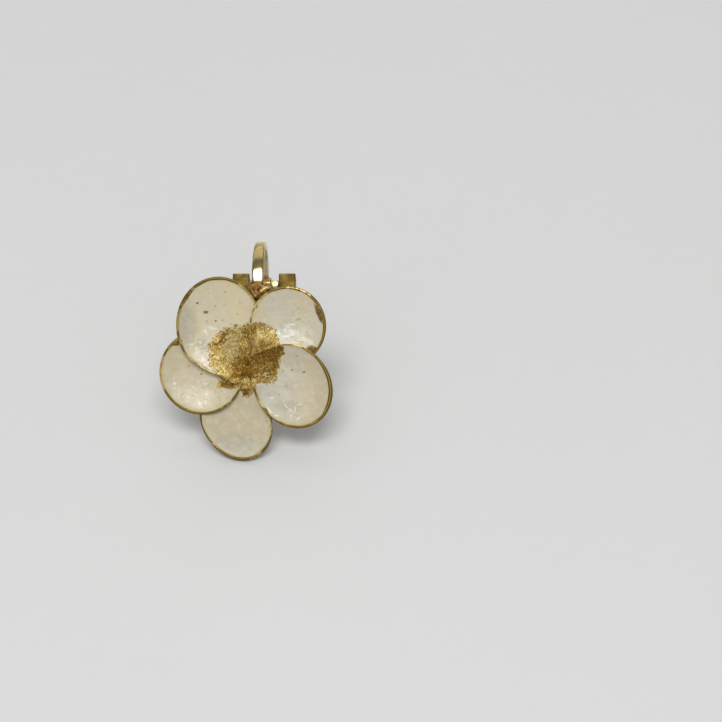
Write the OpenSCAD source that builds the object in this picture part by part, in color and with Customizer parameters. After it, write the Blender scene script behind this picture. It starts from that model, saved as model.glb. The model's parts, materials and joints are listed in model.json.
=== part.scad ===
/* [Flower] */
// Width of the flower across its left and right petals
flower_w = 19.8; // [18:0.1:22]
// Thickness of the stamped sheet
sheet_t = 0.32; // [0.28:0.02:0.5]
// Mean width of the raised rim round each petal
rim_w = 0.31; // [0.26:0.01:0.4]
// How far each dish sits nearer to the middle than its petal, which makes the outer rims broader
rim_shift = 0.08; // [0:0.01:0.1]
// Height of the raised rim above the dish
rim_h = 0.28; // [0.26:0.01:0.4]
// Thickness of the enamel in each dish
enamel_t = 0.22; // [0.15:0.01:0.24]
// Clearance left between the enamel and the metal round it
enamel_gap = 0.02; // [0.01:0.01:0.04]
// Diameter of the solder pad behind the middle of the flower
pad_d = 6.4; // [5:0.1:7]

/* [Clip arm] */
// Width of the arm
arm_w = 1.4; // [1.2:0.1:1.8]
// Thickness of the arm at the middle of its domed face
arm_t = 0.9; // [0.7:0.05:1]
// Outer radius of the bend over the top
bend_r = 4.8; // [4.4:0.1:5.4]
// Height of the hinge above the middle of the flower
hinge_h = 9.8; // [9.4:0.1:10.6]
// Distance of the arm to the right of the middle of the flower
arm_x = 1.1; // [0.8:0.05:1.8]
// Depth of the front face of the arm behind the mean level of the rims
arm_depth = 1.6; // [1.5:0.05:2]
// Width of the foot that is soldered behind the notch of the two upper petals
foot_w = 2.6; // [2:0.1:3.4]
// Height of the top of that foot above the middle of the flower
foot_h = 9.2; // [8.6:0.1:9.4]

/* [Hinge] */
// Diameter of the hinge pin
pin_d = 0.8; // [0.7:0.05:0.9]
// Diameter of the boss that the pin is pressed into
boss_d = 1.5; // [1.4:0.05:1.6]
// Width of that boss along the pin
boss_w = 1.6; // [1.4:0.1:1.8]
// Diameter of the knuckles behind the ears of the paddle
knuckle_d = 1.6; // [1.5:0.05:1.8]
// Running clearance round the pin, on the radius
pin_gap = 0.03; // [0.02:0.01:0.05]

/* [Paddle] */
// Width across the two ears
paddle_w = 7.4; // [7:0.1:8]
// Width of the notch between the ears
notch_w = 3.5; // [3:0.1:3.8]
// Height of the ears above the pin
ear_h = 1.2; // [1:0.05:1.4]
// Depth of the notch below the pin
notch_h = 0.95; // [0.9:0.05:1.4]
// Length from the pin to the lower end
paddle_l = 11.5; // [10:0.1:12]
// Thickness of the plate
paddle_t = 0.7; // [0.6:0.05:0.8]
// Radius of the corners at the lower end
paddle_corner = 1.3; // [0.8:0.1:2]

/* [Hidden] */
$fn = 64;

gilt = "goldenrod";
cream = "antiquewhite";

// The five petals, from the lowest in the overlap to the one that lies on top, in millimetres and
// degrees. x, y: middle of the petal's oval head. long, short, turn: half-length and half-width of
// the oval, and the direction of its length. reach, toward: distance and direction from the head to
// the tip that the petal tapers to. dish, dx, dy: radius of its hollow, and where the lowest point of
// the hollow lies from the middle of the head. level: height of its rim.
PETALS = [
  // x      y     long  short turn reach toward  dish   dx    dy   level
  [-1.24, -6.07,  4.81, 3.90, 123, 5.30,   76,   16.0, -0.2, -0.9, -0.40],
  [-5.14, -0.60,  4.84, 4.81, 139, 5.00,   -5,   12.0, -0.1, -0.2, -0.15],
  [-3.23,  4.88,  5.39, 4.81,  83, 7.20,  -73,   12.0,  0.3, -1.2,  0.00],
  [ 4.72,  4.66,  4.54, 4.35,  96, 6.00, -137,   11.0,  0.3,  0.5,  0.15],
  [ 5.30, -2.16,  5.02, 4.33, 125, 6.20,  146,   11.0, -0.7,  0.2,  0.35]
];
LAST = len(PETALS) - 1;
TABLE_W = 19.8;
s = flower_w / TABLE_W;

// How far a bore runs on past its metal, and the cut over a rim past its petal
past = 0.5;
rim_past = 0.1;

function head(k) = s * [PETALS[k][0], PETALS[k][1]];
function long(k) = s * PETALS[k][2];
function short(k) = s * PETALS[k][3];
function turn(k) = PETALS[k][4];
function reach(k) = s * PETALS[k][5];
function toward(k) = PETALS[k][6];
function dish_r(k) = s * PETALS[k][7];
function dish(k) = head(k) + s * [PETALS[k][8], PETALS[k][9]];
function level(k) = s * PETALS[k][10];
function shift(k) = -rim_shift * head(k) / norm(head(k));

// Points round each outline
outline_n = 40;

// Radius of the oval head of petal k in direction a
function oval(k, a) = long(k) * short(k)
  / sqrt(pow(short(k) * cos(a - turn(k)), 2) + pow(long(k) * sin(a - turn(k)), 2));

// The same with the taper, whose two sides leave the oval and meet at the tip; off is the angle from
// the tip, and edge the angle at which the side leaves the oval
function radius(k, off) =
  let (r = oval(k, toward(k) + off), edge = acos(min(1, r / reach(k))))
  abs(off) < edge ? r / cos(edge - abs(off)) : r;

// Outline of petal k from its tip round, moved outwards by grow
function outline(k, grow = 0) = [
  for (i = [0 : outline_n - 1])
    let (off = 360 * i / outline_n, a = toward(k) + off)
    head(k) + (radius(k, off > 180 ? off - 360 : off) + grow) * [cos(a), sin(a)]
];

// Height of the middle of the ball that forms the dish of petal k
function ball_z(k) = level(k) + sqrt(pow(dish_r(k), 2) - pow((long(k) + short(k)) / 2, 2));

// The middle of the flower is sunk to this level by a ball of this radius, over a round of this size
sink_level = s * -0.1;
sink_r = s * 9;
sink_reach = s * 5.4;

// Depths that all the columns span, behind the flower and in front of it
deep = -4;
high = 3;

// Solder pad: where it lies behind the flower, how deep the arm is sunk in it, and its two faces
pad_x = arm_x / 2;
pad_y = 1;
pad_lap = 0.3;
pad_front = -0.3;
pad_back = -arm_depth - pad_lap;

// Foot of the arm: level of its front face, and radius of its upper corners
foot_front = -0.85;
foot_corner = 0.7;

// The hinge line, behind the flower
hinge_z = -arm_depth - 2 * bend_r + arm_t / 2;
plate_z = hinge_z + knuckle_d / 2 - paddle_t;
pin_l = paddle_w + 0.1;

// The earring stands on the lowest petal's edge and on the lower end of the paddle.
// The front foot is the point of that petal's back edge that is lowest at a lean near 40 degrees.
function edge_point(p, r) = [p[1], ball_z(0) - sqrt(pow(r, 2) - pow(norm(p - dish(0)), 2))];
function drop(f, lean) = f[0] * cos(lean) + f[1] * sin(lean);
FEET = [for (p = outline(0)) edge_point(p, dish_r(0) + sheet_t)];
RIM = [for (p = outline(0)) edge_point(p, dish_r(0) - rim_h)];
near_lean = 40;
lowest = min([for (f = FEET) drop(f, near_lean)]);
front_foot = [for (f = FEET) if (drop(f, near_lean) == lowest) f][0];
back_foot = [hinge_h - paddle_l, plate_z];
lean = atan2(back_foot[0] - front_foot[0], front_foot[1] - back_foot[1]);
floor_z = drop(front_foot, lean);

// Front and back of the standing earring: the lowest petal's rim, and the bend or the ears
front_y = min([for (f = RIM) f[0] * sin(lean) - f[1] * cos(lean)]);
bend_y = hinge_h * sin(lean) + (arm_depth + bend_r) * cos(lean) + bend_r;
ears_y = (hinge_h + ear_h) * sin(lean) - plate_z * cos(lean);
mid_y = (front_y + max(bend_y, ears_y)) / 2;

// Sets the flower, drawn facing up, on its feet
module stand() {
  translate([0, -mid_y, -floor_z])
    rotate([90 - lean, 0, 0])
      children();
}

// Everything above or below the outline of petal k
module column(k, grow = 0, shift = [0, 0]) {
  translate([shift[0], shift[1], deep])
    linear_extrude(high - deep)
      polygon(outline(k, grow));
}

// The columns of the petals that lie over petal k
module columns_over(k, grow = 0) {
  if (k < LAST) {
    for (j = [k + 1 : LAST]) column(j, grow);
  }
}

// The ball whose underside is the dish of petal k
module ball(k, grow = 0) {
  translate([dish(k)[0], dish(k)[1], ball_z(k)])
    sphere(dish_r(k) + grow);
}

// The open space of petal k above its rim and its dish
module hollow(k) {
  difference() {
    union() {
      intersection() {
        column(k, rim_past);
        ball(k, -rim_h);
      }
      intersection() {
        column(k, -rim_w, shift(k));
        ball(k);
      }
    }
    columns_over(k);
  }
}

// The ball that sinks the middle of the flower
module sink(grow = 0) {
  translate([0, 0, sink_level + sink_r])
    intersection() {
      sphere(sink_r + grow);
      cylinder(r = sink_reach, h = 4 * sink_r, center = true);
    }
}

// Round bar of diameter d and length l along the hinge line
module along_hinge(d, l) {
  translate([arm_x, hinge_h, hinge_z])
    rotate([0, 90, 0])
      cylinder(d = d, h = l, center = true);
}

// Cross-section of the arm: flat inside and low-domed outside, with its outer face at x = 0.
// The radius of the dome goes with the width of the arm.
dome_share = 1.3;
dome_r = dome_share * arm_w;
module arm_section() {
  intersection() {
    translate([-arm_t, -arm_w / 2]) square([arm_t, arm_w]);
    translate([-dome_r, 0]) circle(dome_r);
  }
}

// The solder pad and the foot of the arm that runs up from it
module pad() {
  straight = foot_h - foot_corner - pad_y;
  translate([pad_x, pad_y, pad_back]) cylinder(d = pad_d, h = pad_front - pad_back);
  translate([arm_x, pad_y, pad_back]) {
    linear_extrude(foot_front - pad_back) {
      translate([-foot_w / 2, 0]) square([foot_w, straight]);
      translate([foot_corner - foot_w / 2, 0]) square([foot_w - 2 * foot_corner, straight + foot_corner]);
      for (side = [-1, 1]) {
        translate([side * (foot_w / 2 - foot_corner), straight]) circle(foot_corner);
      }
    }
  }
}

// The arm: up behind the notch of two petals, and over in a half circle to the boss
module arm() {
  leg_foot = pad_y - pad_d / 4;
  translate([arm_x, leg_foot, -arm_depth])
    rotate([-90, 0, 0])
      rotate([0, 0, -90])
        linear_extrude(hinge_h - leg_foot)
          arm_section();
  translate([arm_x, hinge_h, -arm_depth - bend_r])
    rotate([0, 90, 0])
      rotate_extrude(angle = 180)
        translate([bend_r, 0]) arm_section();
}

module flower_setting() {
  color(gilt)
    stand()
      difference() {
        union() {
          for (k = [0 : LAST]) {
            intersection() {
              column(k);
              ball(k, sheet_t);
            }
          }
          pad();
          arm();
          along_hinge(boss_d, boss_w);
        }
        for (k = [0 : LAST]) hollow(k);
        sink();
        along_hinge(pin_d, boss_w + past);
      }
}

// The enamel fill of petal k
module enamel(k) {
  color(cream)
    stand()
      difference() {
        intersection() {
          column(k, -rim_w - enamel_gap, shift(k));
          ball(k, -enamel_gap);
        }
        ball(k, -enamel_gap - enamel_t);
        columns_over(k, enamel_gap);
        sink(enamel_gap);
      }
}

module hinge_pin() {
  color(gilt)
    stand()
      along_hinge(pin_d, pin_l);
}

// Outline of the paddle in the plane of its plate
module paddle_outline() {
  top = hinge_h + ear_h;
  bottom = hinge_h - paddle_l;
  notch_corner = 0.8;
  difference() {
    union() {
      translate([-paddle_w / 2, bottom + paddle_corner]) square([paddle_w, top - bottom - paddle_corner]);
      translate([-paddle_w / 2 + paddle_corner, bottom])
        square([paddle_w - 2 * paddle_corner, 2 * paddle_corner]);
      for (side = [-1, 1]) {
        translate([side * (paddle_w / 2 - paddle_corner), bottom + paddle_corner]) circle(paddle_corner);
      }
    }
    translate([-notch_w / 2, hinge_h - notch_h + notch_corner]) square([notch_w, notch_h + ear_h]);
    translate([-notch_w / 2 + notch_corner, hinge_h - notch_h]) square([notch_w - 2 * notch_corner, notch_h]);
    for (side = [-1, 1]) {
      translate([side * (notch_w / 2 - notch_corner), hinge_h - notch_h + notch_corner]) circle(notch_corner);
    }
  }
}

module clip_paddle() {
  ear_w = (paddle_w - notch_w) / 2;
  color(gilt)
    stand()
      difference() {
        union() {
          translate([arm_x, 0, plate_z]) linear_extrude(paddle_t) paddle_outline();
          for (side = [-1, 1]) {
            translate([side * (paddle_w - ear_w) / 2, 0, 0]) along_hinge(knuckle_d, ear_w);
          }
        }
        along_hinge(pin_d + 2 * pin_gap, paddle_w + past);
      }
}

flower_setting();
enamel(0);  // enamel_1
enamel(1);  // enamel_2
enamel(2);  // enamel_3
enamel(3);  // enamel_4
enamel(4);  // enamel_5
hinge_pin();
clip_paddle();
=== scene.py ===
# %% [markdown]
# # A flower clip-on earring in enamel and gilt brass
# The earring leans on its open clip like a small easel: the flower looks up at the camera, and the lowest
# petal and the end of the paddle touch the table. This lesson dresses the construction model, piece by
# piece: the stamped gilt flower, the enamel in its five dishes, the gold powder fired into the middle, and
# the clip behind.

# %% Open the construction model
import json
import math
import random

import bpy
from mathutils import Euler, Matrix, Vector, noise
from mathutils.bvhtree import BVHTree


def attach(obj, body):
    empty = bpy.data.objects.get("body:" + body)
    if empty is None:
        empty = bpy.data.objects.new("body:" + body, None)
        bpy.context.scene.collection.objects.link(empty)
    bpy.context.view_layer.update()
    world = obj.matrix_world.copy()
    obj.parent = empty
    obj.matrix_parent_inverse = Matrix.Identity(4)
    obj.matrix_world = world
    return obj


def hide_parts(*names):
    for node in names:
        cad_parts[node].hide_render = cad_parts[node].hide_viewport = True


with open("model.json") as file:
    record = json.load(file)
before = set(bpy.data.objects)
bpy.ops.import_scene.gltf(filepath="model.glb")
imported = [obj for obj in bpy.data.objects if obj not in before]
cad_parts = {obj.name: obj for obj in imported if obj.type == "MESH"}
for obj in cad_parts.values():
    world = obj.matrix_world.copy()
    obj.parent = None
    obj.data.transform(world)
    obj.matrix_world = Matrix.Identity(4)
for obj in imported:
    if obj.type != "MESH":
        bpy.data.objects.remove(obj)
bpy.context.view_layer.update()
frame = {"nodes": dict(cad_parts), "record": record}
print("nodes:", sorted(frame["nodes"]))

# %% [markdown]
# ## The bench
# All modelling is done at the bench, with the flower lying flat and facing up: X to the right, Y up the
# flower, Z towards whoever looks at it, and one unit for a millimetre. The record gives the hinge line and
# the way the flower faces, so one matrix sets every finished piece on its feet, at its real size.

# %% Find the flower's own place
MM = 0.001
HINGE = Vector((1.1, 9.8, -10.75))
joint = frame["record"]["behaviour"]["joints"][0]
clip_mount = next(m for m in frame["record"]["mounts"] if m["name"] == "ear_clip")
facing = Vector(clip_mount["axis"])
lean = math.atan2(facing.z, -facing.y)
turn_up = Matrix.Rotation(math.pi / 2 - lean, 4, "X")
flower_middle = Vector(joint["pos_m"]) - turn_up @ (HINGE * MM)
STAND = Matrix.Translation(flower_middle) @ turn_up @ Matrix.Scale(MM, 4)
print("the flower looks up at %.1f degrees" % math.degrees(lean))

# %% [markdown]
# ## The camera and the light
# The photograph looks straight at the flower from a little over a hand's width, with the earring left of
# the middle of the picture. One pixel is 0.1136 mm at the flower, which gives the lens.

# %% Camera
PICTURE = 722
MM_PER_PIXEL = 0.1136
FLOWER_PIXEL = (246.5, 367.0)
CAMERA_DISTANCE = 260
YAW = math.radians(2.7)
SENSOR = 36
aim = turn_up @ Matrix.Rotation(YAW, 4, "Y")
aside = (PICTURE / 2 - FLOWER_PIXEL[0]) * MM_PER_PIXEL
above = (FLOWER_PIXEL[1] - PICTURE / 2) * MM_PER_PIXEL
camera_data = bpy.data.cameras.new("camera")
camera = bpy.data.objects.new("camera", camera_data)
bpy.context.collection.objects.link(camera)
camera_place = flower_middle + aim @ (Vector((aside, above, CAMERA_DISTANCE)) * MM)
camera.matrix_world = Matrix.Translation(camera_place) @ aim
camera_data.sensor_width = SENSOR
camera_data.lens = SENSOR * CAMERA_DISTANCE / (PICTURE * MM_PER_PIXEL)
camera_data.clip_start = 0.01
bpy.context.scene.camera = camera
print("lens %.1f mm" % camera_data.lens)

# %% [markdown]
# A large soft box hangs over the table, a little in front. Two weaker ones stand behind the camera and on
# the far side, and a grey card overhead gives the polished metal something darker to mirror.

# %% Studio light
def soft_box(name, size, power, place):
    data = bpy.data.lights.new(name, "AREA")
    data.shape = "RECTANGLE"
    data.size, data.size_y = size
    data.energy = power
    lamp = bpy.data.objects.new(name, data)
    bpy.context.collection.objects.link(lamp)
    lamp.location = place
    lamp.rotation_euler = (-Vector(place)).to_track_quat("-Z", "Y").to_euler()
    print("lamp", name, power, "watts")

soft_box("overhead", (0.56, 0.30), 4.25, (-0.01, -0.295, 0.78))
soft_box("behind_camera", (0.28, 0.16), 0.16, (0.0, -0.30, 0.34))
soft_box("far_side", (1.10, 0.80), 2.6, (-0.1, 0.62, 0.68))
room = bpy.data.worlds.new("room")
bpy.context.scene.world = room
room.use_nodes = True
room.node_tree.nodes["Background"].inputs["Color"].default_value = (0.84, 0.84, 0.83, 1)
room.node_tree.nodes["Background"].inputs["Strength"].default_value = 0.42
bpy.context.scene.view_settings.view_transform = "Standard"

# %% [markdown]
# ## Small helpers
# Operators act on whatever is selected, so every step first lets go of everything and picks one object.

# %% Selecting, cutting and finishing
def pick(*objects):
    if bpy.context.object and bpy.context.object.mode != "OBJECT":
        bpy.ops.object.mode_set(mode="OBJECT")
    bpy.ops.object.select_all(action="DESELECT")
    for o in objects:
        o.select_set(True)
    bpy.context.view_layer.objects.active = objects[0]

def start(operator, **settings):
    bpy.ops.object.select_all(action="DESELECT")
    operator(**settings)
    return bpy.context.object

def freeze(obj):
    pick(obj)
    bpy.ops.object.transform_apply(location=True, rotation=True, scale=True)
    return obj

def apply_modifier(obj, kind, **settings):
    pick(obj)
    m = obj.modifiers.new(kind.lower(), kind)
    for key, value in settings.items():
        setattr(m, key, value)
    bpy.ops.object.modifier_apply(modifier=m.name)
    return obj

def drop(*objects):
    for o in objects:
        bpy.data.objects.remove(o, do_unlink=True)

def cut(obj, operation, *tools):
    """Cuts obj with the tools, or welds them to it, and throws the tools away."""
    for tool in tools:
        apply_modifier(obj, "BOOLEAN", operation=operation, object=tool, solver="EXACT")
    drop(*tools)

def join(*objects):
    pick(*objects)
    bpy.ops.object.join()
    return objects[0]

def soften_edges(obj, width, angle=40, steps=3):
    return apply_modifier(obj, "BEVEL", width=width, segments=steps, limit_method="ANGLE",
                          angle_limit=math.radians(angle))

def smooth(obj, angle=30):
    pick(obj)
    bpy.ops.object.shade_smooth_by_angle(angle=math.radians(angle))

def set_on_feet(obj, name, body, slot, *nodes):
    obj.name = name
    obj.matrix_world = STAND @ obj.matrix_world
    freeze(obj)
    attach(obj, body)
    if nodes:
        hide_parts(*nodes)
    print(name, len(obj.data.polygons), "faces")

# %% [markdown]
# ## The five petals
# Each petal is an oval that tapers to a tip near the middle, and a hollow pressed into it by a large ball.
# The table holds the same sizes as the construction model, in millimetres and degrees, from the lowest
# petal to the topmost.

# %% Petal sizes
PETAL_COLUMNS = ("x", "y", "long", "short", "turn", "reach", "toward", "dish", "dx", "dy", "level")
PETAL_TABLE = (
    (-1.24, -6.07, 4.81, 3.90, 123, 5.30, 76, 16.0, -0.2, -0.9, -0.40),
    (-5.14, -0.60, 4.84, 4.81, 139, 5.00, -5, 12.0, -0.1, -0.2, -0.15),
    (-3.23, 4.88, 5.39, 4.81, 83, 7.20, -73, 12.0, 0.3, -1.2, 0.00),
    (4.72, 4.66, 4.54, 4.35, 96, 6.00, -137, 11.0, 0.3, 0.5, 0.15),
    (5.30, -2.16, 5.02, 4.33, 125, 6.20, 146, 11.0, -0.7, 0.2, 0.35),
)
PETALS = [dict(zip(PETAL_COLUMNS, row)) for row in PETAL_TABLE]
SHEET_T = 0.32
RIM_W = 0.31
RIM_SHIFT = 0.08
RIM_H = 0.28
ENAMEL_T = 0.22
# The ball that sinks the middle of the flower: its lowest level, its radius and where it no longer reaches
SINK_LEVEL = -0.1
SINK_R = 9.0
BEYOND_SINK = 8
# All the metal is drawn in by this much, to stay inside the construction model
HAIR = 0.02
UNEVEN_RIMS = (
    # x, y, two radii, turn, and how much wider the rim is there
    (1.30, 7.20, 1.6, 3.4, -33, -0.42), (5.20, 2.30, 3.6, 1.4, -8, -0.42),
    (-5.20, 0.30, 3.2, 1.5, -28, -0.42), (-9.70, -0.30, 1.6, 3.4, 0, -0.42),
    (-4.90, -7.20, 1.4, 1.9, 0, -0.42), (9.60, -2.60, 1.6, 4.0, 5, 0.35),
    (2.75, -7.00, 1.2, 2.6, 0, -0.45),
)
for p in PETALS:
    p["ball"] = p["level"] + math.sqrt(p["dish"] ** 2 - ((p["long"] + p["short"]) / 2) ** 2)
    p["shift"] = -RIM_SHIFT * Vector((p["x"], p["y"])).normalized()
print(len(PETALS), "petals")

# %% [markdown]
# The outline of a petal comes from its oval and its tip, and its height from two balls: the one that presses
# the dish, and the one that sinks the middle of the whole flower.

# %% Heights on a petal
def way_out(p, off):
    """Direction and distance of the outline from the middle of the oval, off radians from the tip."""
    a = math.radians(p["toward"]) + off
    b = a - math.radians(p["turn"])
    r = p["long"] * p["short"] / math.hypot(p["short"] * math.cos(b), p["long"] * math.sin(b))
    side = math.acos(min(1.0, r / p["reach"]))
    off = abs((off + math.pi) % (2 * math.pi) - math.pi)
    if off < side:
        r /= math.cos(side - off)
    return Vector((math.cos(a), math.sin(a))), r

def lower_of(a, b, blend=0.3):
    """The lower of two heights, with a soft passage from one to the other."""
    near = max(blend - abs(a - b), 0.0) / blend
    return min(a, b) - near * near * blend / 4

def height(p, point, radius, over_sink):
    """Height of the petal's pressing ball of this radius, where the middle of the flower is sunk."""
    away = (point - Vector((p["x"] + p["dx"], p["y"] + p["dy"]))).length
    pressed = p["ball"] - math.sqrt(radius ** 2 - away ** 2)
    if point.length > BEYOND_SINK:
        return pressed
    sunk = SINK_LEVEL + SINK_R - math.sqrt(SINK_R ** 2 - point.length_squared)
    return lower_of(pressed, sunk + over_sink)

# %% [markdown]
# A petal is a flat grid wrapped round its oval: the columns of the grid run round the outline and its rows
# follow the cross-section, so the seam and the two middles only need merging.

# %% Wrapping a grid round a petal
AROUND = 240
COLUMN_FOOT, COLUMN_H = -4, 8

def wrap(p, rows, place):
    """place(middle, way, r, row) is a point of the cross-section in direction way."""
    sheet = start(bpy.ops.mesh.primitive_grid_add, size=2,
                  x_subdivisions=AROUND, y_subdivisions=len(rows) - 1)
    middle = Vector((p["x"], p["y"]))
    ways = [way_out(p, 2 * math.pi * k / AROUND) for k in range(AROUND)]
    for v in sheet.data.vertices:
        way, r = ways[round((v.co.x + 1) / 2 * AROUND) % AROUND]
        v.co = place(middle, way, r, rows[round((v.co.y + 1) / 2 * (len(rows) - 1))])
    pick(sheet)
    bpy.ops.object.mode_set(mode="EDIT")
    bpy.ops.mesh.select_all(action="SELECT")
    bpy.ops.mesh.remove_doubles(threshold=0.0002)
    bpy.ops.mesh.normals_make_consistent(inside=False)
    bpy.ops.object.mode_set(mode="OBJECT")
    return sheet

def oval_distance(row, x, y):
    """0 at the middle of an oval of a table and 1 on its edge."""
    cx, cy, rx, ry, turn = row
    c, s = math.cos(math.radians(turn)), math.sin(math.radians(turn))
    return math.hypot(((x - cx) * c + (y - cy) * s) / rx, ((y - cy) * c - (x - cx) * s) / ry)

def rim_width(p, middle, way, r):
    """Broad on the outside of the flower, thin on the inside and thinnest at the worn places."""
    edge = middle + way * r
    width = RIM_W - p["shift"].dot(way)
    for *oval, wider in UNEVEN_RIMS:
        width *= 1 + wider * max(0.0, 1 - oval_distance(oval, edge.x, edge.y) ** 2)
    return width

def petal_column(p, grow=0.0):
    """A tall column over the petal's outline, moved outwards by grow."""
    column = start(bpy.ops.mesh.primitive_circle_add, vertices=200, radius=1, fill_type="NGON")
    for v in column.data.vertices:
        way, r = way_out(p, math.atan2(v.co.y, v.co.x))
        v.co = (p["x"] + way.x * (r + grow), p["y"] + way.y * (r + grow), COLUMN_FOOT)
    pick(column)
    bpy.ops.object.mode_set(mode="EDIT")
    bpy.ops.mesh.select_all(action="SELECT")
    bpy.ops.mesh.extrude_region_move(TRANSFORM_OT_translate={"value": (0, 0, COLUMN_H)})
    bpy.ops.mesh.select_all(action="SELECT")
    bpy.ops.mesh.normals_make_consistent(inside=False)
    bpy.ops.object.mode_set(mode="OBJECT")
    return column

# %% [markdown]
# ## The stamped petals
# The cross-section runs out along the back of the sheet, up the wall, over the rim and down into the dish.
# Wear has rounded the rims. They are broad on the outside of the flower and thin on the inside. All of it
# is drawn in by a hair, to stay inside the construction model. A small mound closes the middle, where the
# five tips meet.

# %% Cross-section of the metal
BACK_STEPS, RIM_STEPS, DISH_STEPS = 14, 10, 10
METAL_ROWS = (
    [("back", k / BACK_STEPS) for k in range(BACK_STEPS + 1)] + [("wall", 0)]
    + [("rim", math.pi * k / RIM_STEPS) for k in range(RIM_STEPS + 1)]
    + [("dish", 1 - k / DISH_STEPS) for k in range(DISH_STEPS + 1)]
)
# How high the rim, the dish and the back of the sheet lie over the ball that sinks the middle
RIM_OVER, DISH_OVER, BACK_OVER = 0.16, -0.06, -0.36
BACK_CORNER = 0.05
RIM_ROUND = 0.8
# The share of its width that wear has left of the rim, and how much that share wavers
WORN, WAVER = 0.92, 0.16

def metal_point(p):
    def place(middle, way, r, row):
        kind, t = row
        r -= HAIR
        half = rim_width(p, middle, way, r) / 2
        crest = middle + way * (r - half)
        half *= min(1.0, WORN * (1 + WAVER * noise.noise(Vector((crest.x, crest.y, 5.0)) * 0.8)))
        crest = middle + way * (r - half)
        top = height(p, crest, p["dish"] - RIM_H, RIM_OVER)
        if kind == "back":
            here = middle + way * (r * t - (BACK_CORNER if t == 1 else 0))
            return (here.x, here.y, height(p, here, p["dish"] + SHEET_T, BACK_OVER))
        if kind == "wall":
            here = middle + way * r
            return (here.x, here.y, height(p, here, p["dish"] + SHEET_T, BACK_OVER) + BACK_CORNER)
        if kind == "rim":
            here = crest + way * (half * math.cos(t))
            return (here.x, here.y, top - half * RIM_ROUND + half * RIM_ROUND * math.sin(t))
        here = middle + way * ((r - 2 * half) * t)
        return (here.x, here.y, height(p, here, p["dish"], DISH_OVER))
    return place

# %% [markdown]
# Each petal is cut away under the petals that lie over it, but for a strip that stays tucked under them.

# %% Five petals with their rims
TUCKED = 0.35
petals = []
for i, p in enumerate(PETALS):
    petal = wrap(p, METAL_ROWS, metal_point(p))
    cut(petal, "DIFFERENCE", *[petal_column(q, -TUCKED) for q in PETALS[i + 1:]])
    petals.append(petal)
mound = start(bpy.ops.mesh.primitive_uv_sphere_add, segments=48, ring_count=24, radius=1,
              location=(0.1, -0.4, -0.62))
mound.scale = (1.4, 1.4, 0.5)
flower = join(*petals, freeze(mound))
smooth(flower, 50)
print("stamped flower", len(flower.data.polygons), "faces")

# %% [markdown]
# Behind the flower lie the solder pad and the foot of the arm, with runs of solder in the notch. Remeshed
# together, they flow into one another.

# %% Pad, foot and solder
foot = start(bpy.ops.mesh.primitive_cube_add, size=1, location=(HINGE.x, 5.1, -1.375))
foot.scale = (2.6, 8.2, 1.05)
soften_edges(freeze(foot), 0.35)
SOLDER = (
    # x, y, z, width, height, depth
    (1.10, 9.18, -1.30, 1.6, 0.72, 0.8),
    (0.35, 9.50, -1.80, 0.5, 0.55, 0.7),
    (2.30, 9.02, -1.15, 1.4, 0.62, 0.9),
    (0.20, 9.05, -1.30, 1.2, 0.90, 0.7),
    (0.55, 8.60, -0.95, 0.8, 0.80, 0.7),
    (1.55, 8.65, -0.95, 0.9, 0.80, 0.7),
    (0.95, 8.05, -0.72, 0.8, 0.70, 0.7),
    (2.95, 8.76, -0.75, 1.1, 0.52, 1.1),
)
solder = []
for x, y, z, width, tall, deep in SOLDER:
    lump = start(bpy.ops.mesh.primitive_ico_sphere_add, subdivisions=3, radius=0.5, location=(x, y, z))
    lump.scale = (width, tall, deep)
    solder.append(freeze(lump))
PAD_X, PAD_Y = HINGE.x / 2, 1
pad = start(bpy.ops.mesh.primitive_cylinder_add, vertices=96, radius=3.2, depth=0.6,
            location=(PAD_X, PAD_Y, -1.6))
slope = start(bpy.ops.mesh.primitive_cone_add, vertices=96, radius1=3.0, radius2=1.0, depth=0.7,
              location=(PAD_X, PAD_Y, -1.05))
pad = join(pad, slope, foot, *solder)
apply_modifier(pad, "REMESH", mode="VOXEL", voxel_size=0.10, use_smooth_shade=True)
apply_modifier(pad, "SMOOTH", factor=0.5, iterations=18)
print("pad and foot", len(pad.data.polygons), "faces")

# %% [markdown]
# ## The enamel
# The cross-section of a fill runs out underneath, up at the rim, where the glass has crept up a little, and
# back over the gently uneven top.

# %% Cross-section of the enamel
UNDER_STEPS, TOP_STEPS = 5, 46
# Distances from the rim of the rows that follow the creep of the glass, and where the even rows begin
NEAR_RIM = (0.0, 0.03, 0.07, 0.12, 0.18, 0.26)
EVEN_FROM = 0.34
ENAMEL_ROWS = (
    [("under", k / UNDER_STEPS) for k in range(UNDER_STEPS + 1)]
    + [("top", d) for d in NEAR_RIM]
    + [("in", 1 - k / TOP_STEPS) for k in range(TOP_STEPS + 1)]
)
# How high the top and the underside lie over the ball that sinks the middle
TOP_OVER, UNDER_OVER = 0.03, -0.05
UNDER_RIM = 0.04
SUNK_IN = 0.02
CREEP_H, CREEP = 0.05, 0.12
SWELL, RIPPLE = 0.012, 0.004

def enamel_point(p):
    def place(middle, way, r, row):
        kind, t = row
        inner = r - rim_width(p, middle, way, r) + UNDER_RIM
        if kind == "under":
            here = middle + way * (inner * t)
            return (here.x, here.y, height(p, here, p["dish"] - SUNK_IN, UNDER_OVER))
        from_wall = t if kind == "top" else EVEN_FROM + (inner - EVEN_FROM) * (1 - t)
        here = middle + way * (inner - from_wall)
        top = height(p, here, p["dish"] - ENAMEL_T, TOP_OVER) + CREEP_H * math.exp(-from_wall / CREEP)
        swell = SWELL * noise.noise(Vector((here.x, here.y, 3.0)) * 0.75)
        swell += RIPPLE * noise.noise(Vector((here.x, here.y, 9.0)) * 2.0)
        return (here.x, here.y, top + swell)
    return place

# %% [markdown]
# A fill is cut away under the upper petals too, and a narrow strip of it runs in under their edges.

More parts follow.
